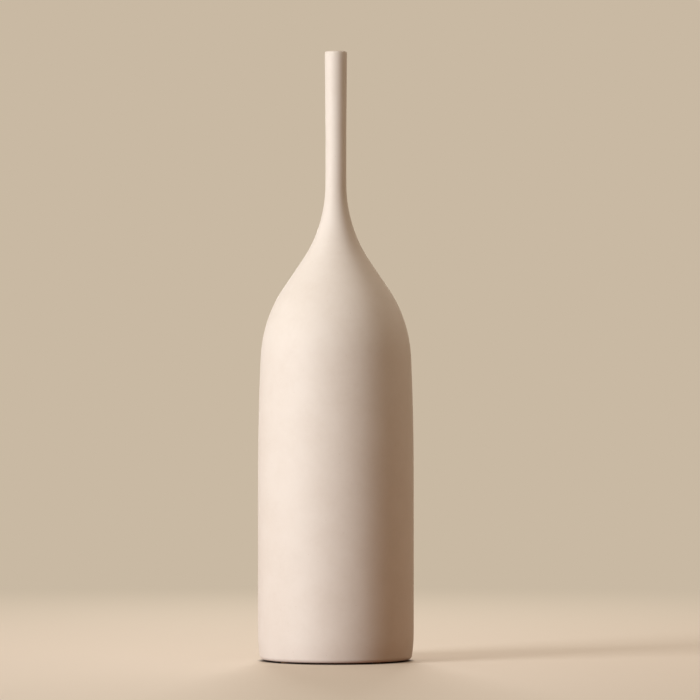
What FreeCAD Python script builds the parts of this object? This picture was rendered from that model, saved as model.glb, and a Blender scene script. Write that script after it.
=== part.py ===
import FreeCAD, Part
import math
import os

from FreeCAD import Vector

# Ceramic bottle vase on four felt dots, in millimetres.
# +Z is up, and the origin is on the vase's axis in the plane of the table.

# Heights, stacked from the table to the lip
dot_thickness = 1.0
side_height = 189.0
shoulder_height = 73.5
slope_height = 71.0
neck_height = 135.5

# Main diameters
side_diameter = 120.2
neck_diameter = 16.1
bore_diameter = 10.0

# Lean of the outside's straight legs: foot and shoulder stand inside the side, and the lip outside the neck
foot_inset = 1.8
swell_height = 11.5
shoulder_inset = 3.35
lip_flare = 0.55
lip_flare_height = 65.0

# Radii that round the corners where the outside's straight legs meet
foot_edge_radius = 3.0
swell_radius = 118.0
side_top_radius = 1950.0
shoulder_radius = 103.0
throat_radius = 105.0
flare_radius = 1000.0
lip_edge_radius = 1.0

# Clay under and around the hollow, whose floor meets the side in a slope of 45 degrees
side_wall = 5.0
floor_thickness = 6.0
floor_corner = 6.0

# Foot ring, which stands round a shallow recess with a sloping wall
foot_ring_width = 14.6
recess_depth = 2.0
recess_slope = 1.5

# Felt dots stuck under the middle of the ring's flat
dot_diameter = 6.0
dot_angles = {"rear_right": 45, "rear_left": 135, "front_left": 225, "front_right": 315}

# Levels
foot_level = dot_thickness
recess_level = foot_level + recess_depth
floor_level = recess_level + floor_thickness
side_level = foot_level + side_height
shoulder_level = side_level + shoulder_height
throat_level = shoulder_level + slope_height
lip_level = throat_level + neck_height

# Radii from the axis
side_radius = side_diameter / 2
foot_radius = side_radius - foot_inset
ring_radius = foot_radius - foot_ring_width
cavity_radius = side_radius - side_wall
neck_radius = neck_diameter / 2
bore_radius = bore_diameter / 2
lip_radius = neck_radius + lip_flare
dot_circle_radius = foot_radius - (foot_ring_width + foot_edge_radius) / 2

# Walls above the side, which thin towards the neck
neck_wall = neck_radius - bore_radius
slope_wall = (side_wall + neck_wall) / 2

# Points of an outline that are nearer than this are one point
same_point = 1e-6

# An arc that turns further than this is two edges, so that its band of wall is two lighter faces
halved_turn = math.radians(20)


def point(radius, height):
    """A point of the half section, which lies in the plane through the axis."""
    return Vector(radius, 0, height)


def into_clay(corner, leg_below, leg_above, wall_below, wall_above):
    """An outside corner moved in, so that each of its two legs moves by its own wall."""
    normal_below = Vector(-leg_below.z, 0, leg_below.x).normalize()
    normal_above = Vector(-leg_above.z, 0, leg_above.x).normalize()
    likeness = normal_below.dot(normal_above)
    share_below = (wall_below - wall_above * likeness) / (1 - likeness**2)
    share_above = (wall_above - wall_below * likeness) / (1 - likeness**2)
    return corner + normal_below * share_below + normal_above * share_above


def outside_corners():
    """Corners of the outside from the foot to the lip, each with the radius that rounds it."""
    return [
        (point(foot_radius, foot_level), foot_edge_radius),
        (point(side_radius, foot_level + swell_height), swell_radius),
        (point(side_radius, side_level), side_top_radius),
        (point(side_radius - shoulder_inset, shoulder_level), shoulder_radius),
        (point(neck_radius, throat_level), throat_radius),
        (point(neck_radius, lip_level - lip_flare_height), flare_radius),
        (point(lip_radius, lip_level), lip_edge_radius),
    ]


def inside_corners():
    """Corners of the hollow from the lip to the middle of the floor, a wall inside the outside's."""
    side_top, shoulder, throat = [corner for corner, radius in outside_corners()[2:5]]
    upright = Vector(0, 0, 1)
    lean = shoulder - side_top
    slope = throat - shoulder
    return [
        (point(bore_radius, lip_level), lip_edge_radius),
        (into_clay(throat, slope, upright, slope_wall, neck_wall), throat_radius + neck_wall),
        (into_clay(shoulder, lean, slope, side_wall, slope_wall), shoulder_radius - slope_wall),
        (into_clay(side_top, upright, lean, side_wall, side_wall), side_top_radius - side_wall),
        (point(cavity_radius, floor_level + floor_corner), 0),
        (point(cavity_radius - floor_corner, floor_level), 0),
        (point(0, floor_level), 0),
    ]


def underside_corners():
    """Corners of the recess under the floor, from the axis out to the foot ring."""
    return [
        (point(0, recess_level), 0),
        (point(ring_radius - recess_slope, recess_level), 0),
        (point(ring_radius, foot_level), 0),
    ]


def fitted_reaches(corners):
    """How far each corner's rounding runs along its legs, where two that share a leg have to fit it."""
    points = [corner for corner, radius in corners]
    reaches = []
    for (corner, radius), before, after in zip(corners, points[-1:] + points[:-1], points[1:] + points[:1]):
        reaches.append(radius / math.tan((before - corner).getAngle(after - corner) / 2))
    shares = []
    for start, end, first, second in zip(points, points[1:] + points[:1], reaches, reaches[1:] + reaches[:1]):
        shares.append(min(1, (end - start).Length / max(first + second, same_point)))
    return [reach * min(pair) for reach, *pair in zip(reaches, shares[-1:] + shares[:-1], shares)]


def arc_edges(arc):
    """An arc as one edge, or as two halves where it turns far."""
    turn = arc.LastParameter - arc.FirstParameter
    count = 2 if turn > halved_turn else 1
    bounds = [arc.FirstParameter + turn * step / count for step in range(count + 1)]
    return [Part.Edge(arc, start, end) for start, end in zip(bounds, bounds[1:])]


def rounded_face(corners):
    """The face inside a closed outline of straight legs and tangent arcs."""
    points = [corner for corner, radius in corners]
    edges = []
    last = None
    for corner, before, after, reach in zip(
        points, points[-1:] + points[:-1], points[1:] + points[:1], fitted_reaches(corners)
    ):
        to_before = (before - corner).normalize()
        to_after = (after - corner).normalize()
        start = corner + to_before * reach
        end = corner + to_after * reach
        half_angle = to_before.getAngle(to_after) / 2
        if last is not None and last.distanceToPoint(start) > same_point:
            edges.append(Part.LineSegment(last, start).toShape())
        if reach > same_point:
            depth = reach / math.cos(half_angle) - reach * math.tan(half_angle)
            middle = corner + (to_before + to_after).normalize() * depth
            edges.extend(arc_edges(Part.Arc(start, middle, end)))
        last = end
    edges.append(Part.LineSegment(last, points[0]).toShape())
    return Part.Face(Part.Wire(edges))


def vase_body():
    """The fired clay in one piece: foot ring, floor, side, shoulder, neck and lip."""
    section = rounded_face(underside_corners() + outside_corners() + inside_corners())
    return section.revolve(Vector(0, 0, 0), Vector(0, 0, 1), 360)


def felt_dot(angle):
    """A round dot of felt between the table and the foot ring."""
    turn = math.radians(angle)
    centre = Vector(dot_circle_radius * math.cos(turn), dot_circle_radius * math.sin(turn), 0)
    return Part.makeCylinder(dot_diameter / 2, dot_thickness, centre)


def main():
    """Builds each piece and writes it under its own name."""
    pieces = {"vase_body": vase_body()}
    for place, angle in dot_angles.items():
        pieces["felt_dot_" + place] = felt_dot(angle)
    os.makedirs("parts", exist_ok=True)
    for name, piece in pieces.items():
        piece.exportStep(f"parts/{name}.step")


main()
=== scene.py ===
import math

import bpy
from mathutils import Matrix, Vector


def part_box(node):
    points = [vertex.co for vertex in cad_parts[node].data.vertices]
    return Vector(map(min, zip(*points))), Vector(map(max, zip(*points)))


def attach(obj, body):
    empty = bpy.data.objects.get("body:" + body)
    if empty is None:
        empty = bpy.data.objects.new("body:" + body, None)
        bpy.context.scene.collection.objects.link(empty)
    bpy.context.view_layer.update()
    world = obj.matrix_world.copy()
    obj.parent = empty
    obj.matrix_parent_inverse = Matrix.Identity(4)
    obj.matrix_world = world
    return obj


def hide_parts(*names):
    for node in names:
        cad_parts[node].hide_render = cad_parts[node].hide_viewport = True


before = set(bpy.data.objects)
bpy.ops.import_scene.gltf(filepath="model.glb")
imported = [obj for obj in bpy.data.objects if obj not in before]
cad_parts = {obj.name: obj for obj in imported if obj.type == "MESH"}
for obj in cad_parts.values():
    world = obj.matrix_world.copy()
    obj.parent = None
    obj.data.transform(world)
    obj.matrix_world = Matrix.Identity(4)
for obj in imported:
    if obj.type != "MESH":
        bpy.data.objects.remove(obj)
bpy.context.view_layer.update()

# A tall matte stoneware bottle vase on four felt dots, in metres, with the CAD model as its frame.
MM = 0.001

# The vase's section in millimetres, as heights above the foot and radii from the axis
SWELL_HEIGHT = 11.5
SIDE_HEIGHT = 189.0
SHOULDER_HEIGHT = 262.5
THROAT_HEIGHT = 333.5
FLARE_HEIGHT = 404.0
FOOT_INSET = 1.8
SHOULDER_INSET = 3.35
NECK_RADIUS = 8.05
LIP_RADIUS = 8.6
BORE_RADIUS = 5.0

# Clay under and around the hollow, and the shallow recess inside the foot ring
SIDE_WALL = 5.0
SLOPE_WALL = 4.03
NECK_WALL = 3.05
FLOOR_HEIGHT = 8.0
FLOOR_CORNER = 6.0
RECESS_HEIGHT = 2.0
RECESS_RADIUS = 43.7
RECESS_SLOPE = 1.5

# Radii that round the corners where the section's straight legs meet
SWELL_ROUNDING = 118.0
SIDE_TOP_ROUNDING = 1950.0
SHOULDER_ROUNDING = 103.0
THROAT_ROUNDING = 105.0
FLARE_ROUNDING = 1000.0
FOOT_ROUNDING = 3.0
LIP_ROUNDING = 1.5
MOUTH_ROUNDING = 1.0
RECESS_ROUNDING = 0.6
FLOOR_ROUNDING = 4.0

# The skin keeps this many millimetres inside the box of the solid that it stands for
BOX_MARGIN = 0.01

# Rings that carry the skin: at most this many millimetres apart on a leg, and on an arc about this many
# millimetres or this turn apart, whichever gives fewer, but no fewer than the last
LEG_STEP = 30.0
ARC_STEP = 6.5
ARC_TURN = math.radians(3.6)
FEWEST_ON_ARC = 4

# The flat middles of the recess and the floor are closed from rings at these shares of their radii
RECESS_MIDDLE = 0.7
FLOOR_MIDDLE = 0.3

# Corners of a ring, and how many times the skin through the rings is subdivided
VASE_AROUND = 48
VASE_LEVELS = 2
DOT_AROUND = 24
DOT_LEVELS = 3

# A felt dot as radii and heights in millimetres, flat below and above, with a bulged rim that frays inwards
DOT_BELOW = [(1.5, 0.0), (2.6, 0.0), (2.92, 0.03), (3.0, 0.3)]
DOT_ABOVE = [(3.0, 0.7), (2.92, 0.97), (2.6, 1.0), (1.5, 1.0)]
RIM_LOWEST = 0.12 * MM
RIM_HIGHEST = 0.88 * MM
FRAY_SIZE = 0.4 * MM
FRAY_DEPTH = 0.12 * MM
FRAY_MIDDLE = 0.8

# Sizes of the glaze's and the clay's patterns, and heights of their relief
CLOUD_SIZE = 30 * MM
BLOOM_SIZE = 4 * MM
SPECK_SPACING = 7 * MM
SPECK_BURST = 0.5 * MM
WOBBLE_SIZE = 6 * MM
SAND_SIZE = 0.6 * MM
TOOTH_SIZE = 0.8 * MM
TURNING_PITCH = 1.8 * MM
TURNING_RELIEF = 0.02 * MM
TOOTH_RELIEF = 0.025 * MM
SAND_RELIEF = 0.08 * MM
GLAZE_THICKNESS = 0.12 * MM

# Where the glaze ends, with how far its edge wanders: along the radius and up under the foot, and at the lip
LINE_INNER = 56.9 * MM
LINE_OUTER = 57.3 * MM
LINE_WANDER = 1.6 * MM
WIPED_BELOW = 4.0 * MM
GLAZED_ABOVE = 4.5 * MM
THIN_ABOVE = 469.6 * MM
THINNEST_AT = 470.5 * MM
THIN_WANDER = 0.9 * MM

# Sizes of the felt's patterns, and the film of glue on its top
FIBRE_SIZE = 0.9 * MM
TUFT_SIZE = 1.5 * MM
FIBRE_RELIEF = 0.15 * MM
GLUE_FROM = 0.86 * MM
GLUE_WHOLE = 0.9 * MM

# Each lamp's name, azimuth and elevation in degrees, distance and width in metres, watts and colour
LAMPS = [
    ("key_left", -138, 10, 3.0, 1.3, 80.8, "FFFFFF"),
    ("back_fill", 98, 13, 2.6, 0.9, 34, "FFF6EC"),
    ("side_soft", 18, 10, 2.4, 1.5, 4.4, "FFE7C8"),
    ("top_soft", 0, 86, 2.2, 1.5, 11.4, "FFF4F0"),
]
LAMP_AIM = Vector((0, 0, 0.235))
BACKDROP = "C9B9A3"

# The floor's radius, and where its painted shade under the foot, its dim part and its fading start and end,
# in metres from the axis
FLOOR_RADIUS = 12.0
SHADE_WHOLE = 0.055
SHADE_END = 0.061
DIM_WHOLE = 0.35
DIM_END = 1.5
FADE_FROM = 0.06
FADE_WHOLE = 1.4

# The photograph's view: a long lens, a little right of the front and just above the table
VIEW_DISTANCE = 3.29
VIEW_HEIGHT = 0.193
VIEW_TURN = math.radians(6.6)
VIEW_LENS = 219.3
VIEW_SENSOR = 36
VIEW_REACH = 50

# The vase stands this far left of the picture's middle, which is this high above the table
PICTURE_RIGHT = 0.0109
PICTURE_HEIGHT = 0.2393


def linear(hex_colour):
    """An sRGB hex colour as the linear colour that a socket takes."""
    parts = [int(hex_colour[start:start + 2], 16) / 255 for start in (0, 2, 4)]
    return [part / 12.92 if part <= 0.04045 else ((part + 0.055) / 1.055) ** 2.4 for part in parts] + [1.0]


def add(tree, kind, inputs=None, **settings):
    """A new node with its settings, and each input linked to a socket or set to a value."""
    node = tree.nodes.new("ShaderNode" + kind)
    for name, value in settings.items():
        setattr(node, name, value)
    for name, value in (inputs or {}).items():
        if isinstance(value, bpy.types.NodeSocket):
            tree.links.new(value, node.inputs[name])
        else:
            node.inputs[name].default_value = value
    return node


def empty_material(name):
    """A new material with only its output, and its node tree."""
    material = bpy.data.materials.new(name)
    material.use_nodes = True
    material.node_tree.nodes.clear()
    return material, material.node_tree


def matte_glaze():
    """Stoneware dipped in a matte magnesium glaze: chalky cream with soft clouding, thin and warm at the lip,
    and wiped off the foot, where the bare fired clay shows darker and sandy."""
    material, tree = empty_material("matte_cream_glaze")
    place = add(tree, "TexCoord").outputs["Object"]
    axes = add(tree, "SeparateXYZ", {0: place}).outputs
    height = axes["Z"]
    flat = add(tree, "CombineXYZ", {"X": axes["X"], "Y": axes["Y"]}).outputs[0]
    radius = add(tree, "VectorMath", {0: flat}, operation="LENGTH").outputs["Value"]

    # Soft clouding of the glaze, and the finer bloom of its crystals
    clouds = add(tree, "TexNoise", {
        "Vector": place, "Scale": 1 / CLOUD_SIZE, "Detail": 3.0, "Roughness": 0.55,
    }).outputs[0]
    bloom = add(tree, "TexNoise", {
        "Vector": place, "Scale": 1 / BLOOM_SIZE, "Detail": 4.0, "Roughness": 0.6,
    }).outputs[0]
    cloud_share = add(tree, "MapRange", {"Value": clouds, "From Min": 0.35, "From Max": 0.65}).outputs[0]
    bloom_share = add(tree, "MapRange", {
        "Value": bloom, "From Min": 0.3, "From Max": 0.7, "To Max": 0.35,
    }).outputs[0]
    cream = add(tree, "Mix", {
        0: cloud_share, 6: linear("EAE2D9"), 7: linear("E6DDD3"),
    }, data_type="RGBA").outputs[2]
    cream = add(tree, "Mix", {0: bloom_share, 6: cream, 7: linear("EDE6DE")}, data_type="RGBA").outputs[2]

    # Faint iron specks under the glaze, about as wide as their burst, each with an uneven outline
    burst = add(tree, "TexNoise", {"Vector": place, "Scale": 1 / SPECK_BURST, "Detail": 2.0}).outputs["Color"]
    uneven = add(tree, "VectorMath", {
        0: burst, 1: (SPECK_BURST,) * 3, 2: place,
    }, operation="MULTIPLY_ADD").outputs[0]
    specks = add(tree, "TexVoronoi", {
        "Vector": uneven, "Scale": 1 / SPECK_SPACING, "Randomness": 1.0,
    }).outputs["Distance"]
    speck = add(tree, "MapRange", {
        "Value": specks, "From Min": 0.035, "From Max": 0.06, "To Min": 0.22, "To Max": 0.0,
    }).outputs[0]
    cream = add(tree, "Mix", {0: speck, 6: cream, 7: linear("B49A7E")}, data_type="RGBA").outputs[2]

    # The glaze draws back from the rounded lip, and the clay warms it there
    wobble = add(tree, "TexNoise", {"Vector": place, "Scale": 1 / WOBBLE_SIZE, "Detail": 2.0}).outputs[0]
    lip_line = add(tree, "Math", {0: wobble, 1: THIN_WANDER, 2: height}, operation="MULTIPLY_ADD").outputs[0]
    thin = add(tree, "MapRange", {
        "Value": lip_line, "From Min": THIN_ABOVE, "From Max": THINNEST_AT, "To Max": 0.5,
    }).outputs[0]
    cream = add(tree, "Mix", {0: thin, 6: cream, 7: linear("DBC8B3")}, data_type="RGBA").outputs[2]

    # Bare clay inside the glaze line, which wanders by about 1 mm round the foot
    line = add(tree, "Math", {0: wobble, 1: LINE_WANDER, 2: radius}, operation="MULTIPLY_ADD").outputs[0]
    inside_line = add(tree, "MapRange", {
        "Value": line, "From Min": LINE_INNER, "From Max": LINE_OUTER, "To Min": 1.0, "To Max": 0.0,
    }).outputs[0]
    below = add(tree, "MapRange", {
        "Value": height, "From Min": WIPED_BELOW, "From Max": GLAZED_ABOVE, "To Min": 1.0, "To Max": 0.0,
    }).outputs[0]
    bare = add(tree, "Math", {0: inside_line, 1: below}, operation="MULTIPLY").outputs[0]
    sand = add(tree, "TexNoise", {
        "Vector": place, "Scale": 1 / SAND_SIZE, "Detail": 3.0, "Roughness": 0.7,
    }).outputs[0]
    clay = add(tree, "Mix", {0: sand, 6: linear("B99A78"), 7: linear("DCC6A8")}, data_type="RGBA").outputs[2]
    colour = add(tree, "Mix", {0: bare, 6: cream, 7: clay}, data_type="RGBA").outputs[2]

    # A satin bloom that changes a little from crystal to crystal, and dry clay under the foot
    glazed = add(tree, "MapRange", {
        "Value": bloom, "From Min": 0.3, "From Max": 0.7, "To Min": 0.56, "To Max": 0.68,
    }).outputs[0]
    roughness = add(tree, "Mix", {0: bare, 2: glazed, 3: 0.92}).outputs[0]

    # Turning lines that run round the form, the tooth of the glaze, its edge at the foot, and the sandy clay
    turned = add(tree, "Mapping", {"Vector": place, "Scale": (9.0, 9.0, 1 / TURNING_PITCH)}).outputs[0]
    lines = add(tree, "TexNoise", {"Vector": turned, "Scale": 1.0, "Detail": 2.0}).outputs[0]
    tooth = add(tree, "TexNoise", {
        "Vector": place, "Scale": 1 / TOOTH_SIZE, "Detail": 3.0, "Roughness": 0.6,
    }).outputs[0]
    grit = add(tree, "Math", {0: sand, 1: bare}, operation="MULTIPLY").outputs[0]
    relief = add(tree, "Math", {0: bare, 1: -GLAZE_THICKNESS}, operation="MULTIPLY").outputs[0]
    for pattern, rise in ((lines, TURNING_RELIEF), (tooth, TOOTH_RELIEF), (grit, SAND_RELIEF)):
        relief = add(tree, "Math", {0: pattern, 1: rise, 2: relief}, operation="MULTIPLY_ADD").outputs[0]
    bump = add(tree, "Bump", {"Height": relief, "Strength": 1.0, "Distance": 1.0}).outputs[0]

    shader = add(tree, "BsdfPrincipled", {
        "Base Color": colour, "Roughness": roughness, "Normal": bump, "IOR": 1.5,
    })
    add(tree, "OutputMaterial", {"Surface": shader.outputs[0]})
    return material


def pressed_felt():
    """Needled wool felt, die cut: matted brown fibres, drawn coarse enough to show, with glue on top."""
    material, tree = empty_material("pressed_brown_felt")
    place = add(tree, "TexCoord").outputs["Object"]
    height = add(tree, "SeparateXYZ", {0: place}).outputs["Z"]
    combed = add(tree, "Mapping", {
        "Vector": place, "Rotation": (0.6, 0.2, 0.9), "Scale": (1.0, 3.5, 1.8),
    }).outputs[0]
    matted = add(tree, "TexNoise", {
        "Vector": combed, "Scale": 1 / FIBRE_SIZE, "Detail": 6.0, "Roughness": 0.75, "Distortion": 1.2,
    }).outputs[0]
    tufts = add(tree, "TexNoise", {"Vector": place, "Scale": 1 / TUFT_SIZE, "Detail": 2.0}).outputs[0]
    fibre = add(tree, "MapRange", {"Value": matted, "From Min": 0.35, "From Max": 0.65}).outputs[0]
    brown = add(tree, "Mix", {
        0: fibre, 6: linear("8C6A4A"), 7: linear("CAA47C"),
    }, data_type="RGBA").outputs[2]
    brown = add(tree, "Mix", {0: tufts, 6: brown, 7: linear("AE8863")}, data_type="RGBA").outputs[2]

    # The pale film of glue between the felt and the clay
    glued = add(tree, "MapRange", {"Value": height, "From Min": GLUE_FROM, "From Max": GLUE_WHOLE}).outputs[0]
    colour = add(tree, "Mix", {0: glued, 6: brown, 7: linear("D8CBB0")}, data_type="RGBA").outputs[2]
    bump = add(tree, "Bump", {"Height": matted, "Strength": 1.0, "Distance": FIBRE_RELIEF}).outputs[0]
    shader = add(tree, "BsdfPrincipled", {
        "Base Color": colour, "Roughness": 0.95, "Normal": bump, "Sheen Weight": 0.3,
    })
    add(tree, "OutputMaterial", {"Surface": shader.outputs[0]})
    return material


def start_ring(name, around, radius, height, centre):
    """A disc in edit mode with only its rim selected, from which a form is drawn up ring by ring."""
    bpy.ops.object.select_all(action="DESELECT")
    at = (centre[0], centre[1], height * MM)
    bpy.ops.mesh.primitive_circle_add(vertices=around, radius=radius * MM, fill_type="TRIFAN", location=at)
    piece = bpy.context.object
    piece.name = name
    bpy.ops.object.transform_apply(location=True, rotation=True, scale=True)
    hub = min(piece.data.vertices, key=lambda corner: (corner.co.xy - Vector(centre)).length)
    for part in (piece.data.vertices, piece.data.edges, piece.data.polygons):
        part.foreach_set("select", [False] * len(part))
    for edge in piece.data.edges:
        edge.select = hub.index not in edge.vertices
    bpy.ops.object.mode_set(mode="EDIT")
    bpy.ops.mesh.select_mode(type="EDGE")
    return piece


def draw_rings(rings, centre):
    """Extrudes the selected rim through rings of a radius and a height, and closes the last one."""
    for (radius, height), (next_radius, next_height) in zip(rings, rings[1:]):
        rise = (next_height - height) * MM
        bpy.ops.mesh.extrude_region_move(TRANSFORM_OT_translate={"value": (0, 0, rise)})
        grow = next_radius / radius
        middle = (centre[0], centre[1], next_height * MM)
        bpy.ops.transform.resize(value=(grow, grow, 1), center_override=middle)
    bpy.ops.mesh.extrude_region_move(TRANSFORM_OT_translate={"value": (0, 0, 0)})
    bpy.ops.mesh.merge(type="CENTER")
    bpy.ops.mesh.select_all(action="SELECT")
    bpy.ops.mesh.remove_doubles(threshold=0.001 * MM)
    bpy.ops.mesh.normals_make_consistent(inside=False)
    bpy.ops.object.mode_set(mode="OBJECT")


def smoothed(piece, levels):
    """The piece with its rings rounded into one smooth skin."""
    smooth = piece.modifiers.new("skin", "SUBSURF")
    smooth.levels = levels
    smooth.render_levels = levels
    bpy.ops.object.modifier_apply(modifier=smooth.name)
    bpy.ops.object.shade_smooth()


def into_clay(below, corner, above, wall_below, wall_above):
    """A corner of the outside moved in, so that each of its two legs moves by its own wall."""
    inward_below = (corner - below).normalized().orthogonal()
    inward_above = (above - corner).normalized().orthogonal()
    likeness = inward_below.dot(inward_above)
    share_below = (wall_below - wall_above * likeness) / (1 - likeness ** 2)
    share_above = (wall_above - wall_below * likeness) / (1 - likeness ** 2)
    return corner + inward_below * share_below + inward_above * share_above


def section_corners():
    """The section's corners with their roundings, from under the foot over the lip to the floor inside."""
    low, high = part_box("vase_body")
    foot, lip, side = low.z / MM, high.z / MM, min(high.x, high.y) / MM - BOX_MARGIN
    swell = Vector((side, foot + SWELL_HEIGHT))
    side_top = Vector((side, foot + SIDE_HEIGHT))
    shoulder = Vector((side - SHOULDER_INSET, foot + SHOULDER_HEIGHT))
    throat = Vector((NECK_RADIUS, foot + THROAT_HEIGHT))
    neck_top = Vector((NECK_RADIUS, foot + FLARE_HEIGHT))
    recess, floor, hollow = foot + RECESS_HEIGHT, foot + FLOOR_HEIGHT, side - SIDE_WALL
    return [
        (Vector((RECESS_RADIUS * RECESS_MIDDLE, recess)), 0),
        (Vector((RECESS_RADIUS - RECESS_SLOPE, recess)), RECESS_ROUNDING),
        (Vector((RECESS_RADIUS, foot)), RECESS_ROUNDING),
        (Vector((side - FOOT_INSET, foot)), FOOT_ROUNDING),
        (swell, SWELL_ROUNDING),
        (side_top, SIDE_TOP_ROUNDING),
        (shoulder, SHOULDER_ROUNDING),
        (throat, THROAT_ROUNDING),
        (neck_top, FLARE_ROUNDING),
        (Vector((LIP_RADIUS, lip)), LIP_ROUNDING),
        (Vector((BORE_RADIUS, lip)), MOUTH_ROUNDING),
        (into_clay(shoulder, throat, neck_top, SLOPE_WALL, NECK_WALL), THROAT_ROUNDING + NECK_WALL),
        (into_clay(side_top, shoulder, throat, SIDE_WALL, SLOPE_WALL), SHOULDER_ROUNDING - SLOPE_WALL),
        (into_clay(swell, side_top, shoulder, SIDE_WALL, SIDE_WALL), SIDE_TOP_ROUNDING - SIDE_WALL),
        (Vector((hollow, floor + FLOOR_CORNER)), FLOOR_ROUNDING),
        (Vector((hollow - FLOOR_CORNER, floor)), FLOOR_ROUNDING),
        (Vector((hollow * FLOOR_MIDDLE, floor)), 0),
    ]


def leg_rings(start, end):
    """Even steps along a straight leg, after its start and up to its end."""
    count = math.ceil((end - start).length / LEG_STEP)
    return [start.lerp(end, step / count) for step in range(1, count + 1)]


def section_rings():
    """The rings of the skin along the section, where each corner is an arc that touches both its legs."""
    corners = section_corners()
    rings = [corners[0][0]]
    for (before, _), (corner, rounding), (after, _) in zip(corners, corners[1:], corners[2:]):
        leg = (corner - before).normalized()
        next_leg = (after - corner).normalized()
        turn = math.atan2(leg.cross(next_leg), leg.dot(next_leg))
        start = corner - leg * rounding * math.tan(abs(turn) / 2)
        centre = start + leg.orthogonal() * math.copysign(rounding, turn)
        count = max(FEWEST_ON_ARC, round(min(rounding * abs(turn) / ARC_STEP, abs(turn) / ARC_TURN)))
        rings += leg_rings(rings[-1], start)
        for step in range(1, count + 1):
            rings.append(centre + Matrix.Rotation(turn * step / count, 2) @ (start - centre))
    return rings + leg_rings(rings[-1], corners[-1][0])


def vase_body():
    """The vase as one turned skin, from the recess under the foot over the lip to the floor inside."""
    # A skin through a ring of corners runs inside them, so the rings are that much wider
    wider = 3 / (2 + math.cos(2 * math.pi / VASE_AROUND))
    rings = [(radius * wider, height) for radius, height in section_rings()]
    vase = start_ring("stoneware_vase", VASE_AROUND, *rings[0], (0, 0))
    draw_rings(rings, (0, 0))
    smoothed(vase, VASE_LEVELS)
    vase.data.materials.append(matte_glaze())
    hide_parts("vase_body")
    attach(vase, "root")


def felt_dot(node, felt):
    """One die-cut dot, its rim bulged and roughened between the foot and the table."""
    low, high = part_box(node)
    centre = ((low.x + high.x) / 2, (low.y + high.y) / 2)
    rings = DOT_BELOW + DOT_ABOVE
    dot = start_ring(node.replace("felt_dot", "felt"), DOT_AROUND, *rings[0], centre)
    draw_rings(rings, centre)
    smoothed(dot, DOT_LEVELS)
    on_rim = [corner.index for corner in dot.data.vertices if RIM_LOWEST < corner.co.z < RIM_HIGHEST]
    rim = dot.vertex_groups.new(name="rim")
    rim.add(on_rim, 1.0, "REPLACE")
    fray = bpy.data.textures.new("fray", "CLOUDS")
    fray.noise_scale = FRAY_SIZE
    rough = dot.modifiers.new("frayed rim", "DISPLACE")
    rough.texture = fray
    rough.vertex_group = rim.name
    rough.strength = FRAY_DEPTH
    rough.mid_level = FRAY_MIDDLE
    bpy.ops.object.modifier_apply(modifier=rough.name)
    dot.data.materials.append(felt)
    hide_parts(node)
    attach(dot, "root")


def aim(thing, target):
    """Turns a lamp or the camera to face a point."""
    thing.rotation_euler = (Vector(target) - thing.location).to_track_quat("-Z", "Y").to_euler()


def lamp(name, azimuth, elevation, distance, size, power, colour):
    """A soft lamp that faces the middle of the vase."""
    turn, lift = math.radians(azimuth), math.radians(elevation)
    away = Vector((math.cos(turn) * math.cos(lift), math.sin(turn) * math.cos(lift), math.sin(lift)))
    bpy.ops.object.light_add(type="AREA", location=LAMP_AIM + away * distance)
    light = bpy.context.object
    light.name = name
    light.data.size = size
    light.data.energy = power
    light.data.color = linear(colour)[:3]
    light.visible_camera = False
    aim(light, LAMP_AIM)


def seen_directly(tree):
    """1 where the eye sees a thing, straight or in a gloss or glass, and 0 where it only lights others."""
    path = add(tree, "LightPath").outputs
    seen = add(tree, "Math", {0: path["Is Camera Ray"], 1: path["Is Glossy Ray"]}, operation="MAXIMUM")
    seen = add(tree, "Math", {0: seen.outputs[0], 1: path["Is Transmission Ray"]}, operation="MAXIMUM")
    return seen.outputs[0]


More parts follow.
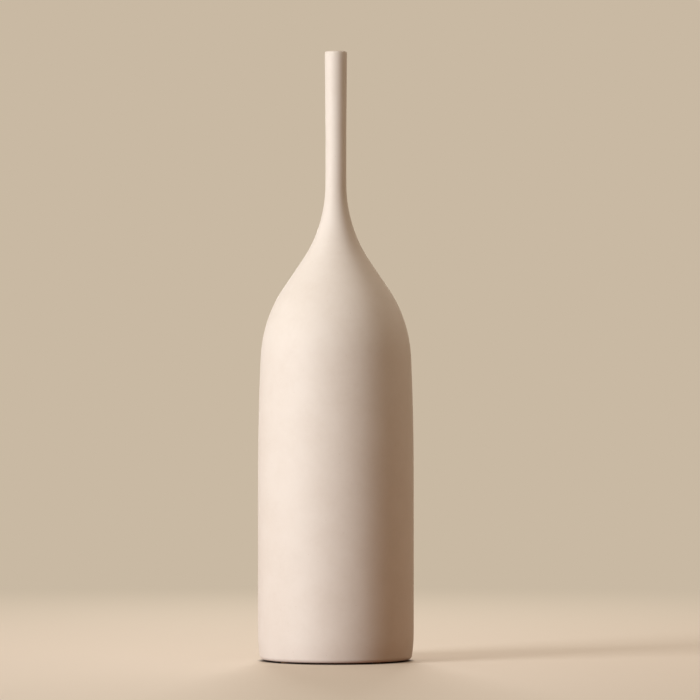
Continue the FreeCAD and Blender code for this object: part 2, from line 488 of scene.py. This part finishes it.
def studio_floor():
    """A pale matte floor that keeps the vase's shadow, with painted shade under the foot, and fades into the
    backdrop.
    """
    bpy.ops.object.select_all(action="DESELECT")
    bpy.ops.mesh.primitive_circle_add(vertices=96, radius=FLOOR_RADIUS, fill_type="NGON")
    floor = bpy.context.object
    floor.name = "studio_floor"
    material, tree = empty_material("pale_studio_floor")
    place = add(tree, "TexCoord").outputs["Object"]
    radius = add(tree, "VectorMath", {0: place}, operation="LENGTH").outputs["Value"]
    direct = seen_directly(tree)

    # The eye sees a pale paint, but near the vase the floor throws only a dimmer, warm light up at it
    away = add(tree, "MapRange", {"Value": radius, "From Min": DIM_WHOLE, "From Max": DIM_END}).outputs[0]
    thrown = add(tree, "Mix", {
        0: away, 6: linear("844D29"), 7: linear("CECECC"),
    }, data_type="RGBA").outputs[2]

    # Painted shade: the floor's seen colour is painted dark under the foot and a little past its edge, which
    # shows only in the thin gap round it
    under = add(tree, "MapRange", {
        "Value": radius, "From Min": SHADE_WHOLE, "From Max": SHADE_END,
    }).outputs[0]
    pale = add(tree, "Mix", {
        0: under, 6: linear("2E2017"), 7: linear("E6DACA"),
    }, data_type="RGBA").outputs[2]
    paint = add(tree, "Mix", {0: direct, 6: thrown, 7: pale}, data_type="RGBA").outputs[2]
    matte = add(tree, "BsdfPrincipled", {"Base Color": paint, "Roughness": 0.9})

    # Further out the eye sees the floor turn into the backdrop
    far = add(tree, "MapRange", {
        "Value": radius, "From Min": FADE_FROM, "From Max": FADE_WHOLE,
    }, interpolation_type="SMOOTHSTEP").outputs[0]
    share = add(tree, "Math", {0: direct, 1: far}, operation="MULTIPLY").outputs[0]
    glow = add(tree, "Emission", {"Color": linear(BACKDROP)})
    faded = add(tree, "MixShader", {0: share, 1: matte.outputs[0], 2: glow.outputs[0]})
    add(tree, "OutputMaterial", {"Surface": faded.outputs[0]})
    floor.data.materials.append(material)


def studio_light():
    """A pale backdrop that lights the vase only as a dim, warm fill, and the soft lamps round it."""
    world = bpy.data.worlds.new("studio")
    bpy.context.scene.world = world
    world.use_nodes = True
    tree = world.node_tree
    tree.nodes.clear()
    fill = add(tree, "Background", {"Color": linear("FFDCAF"), "Strength": 0.22})
    pale = add(tree, "Background", {"Color": linear(BACKDROP), "Strength": 1.0})
    mixed = add(tree, "MixShader", {0: seen_directly(tree), 1: fill.outputs[0], 2: pale.outputs[0]})
    add(tree, "OutputWorld", {"Surface": mixed.outputs[0]})
    for each in LAMPS:
        lamp(*each)


def camera():
    """The camera at the photograph's place, with its lens."""
    side, front = math.sin(VIEW_TURN), math.cos(VIEW_TURN)
    bpy.ops.object.camera_add(location=(VIEW_DISTANCE * side, -VIEW_DISTANCE * front, VIEW_HEIGHT))
    view = bpy.context.object
    view.data.sensor_width = VIEW_SENSOR
    view.data.lens = VIEW_LENS
    view.data.clip_end = VIEW_REACH
    aim(view, (PICTURE_RIGHT * front, PICTURE_RIGHT * side, PICTURE_HEIGHT))
    bpy.context.scene.camera = view


vase_body()
felt = pressed_felt()
for node in sorted(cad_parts):
    if node.startswith("felt_dot"):
        felt_dot(node, felt)
studio_floor()
studio_light()
camera()
bpy.context.scene.view_settings.view_transform = "Standard"
